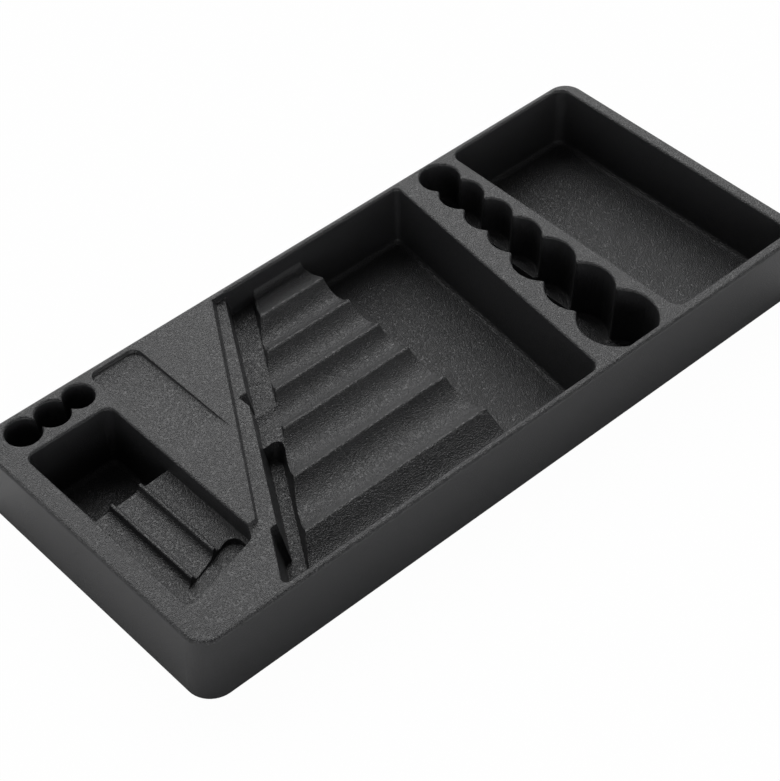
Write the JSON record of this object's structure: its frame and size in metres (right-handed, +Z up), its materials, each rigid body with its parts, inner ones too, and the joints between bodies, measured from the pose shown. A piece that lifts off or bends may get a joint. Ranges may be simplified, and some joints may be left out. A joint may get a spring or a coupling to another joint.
{
  "type": "drawer tool tray",
  "caption": "Rectangular thermoformed tray with deep boxes, a row of round wells, a scalloped rack, a slanted channel and a ribbed pocket.",
  "frame": {"origin": "centre of the foot outline, on the surface the tray stands on", "axes": "+X along the tray to its parts box, +Y to the back edge, +Z up"},
  "size_m": [0.4046, 0.1806, 0.037],
  "materials": {
    "black_sheet": "satin black with a fine leather grain"
  },
  "bodies": {
    "root": {"tray": "black_sheet"}
  },
  "joints": []
}
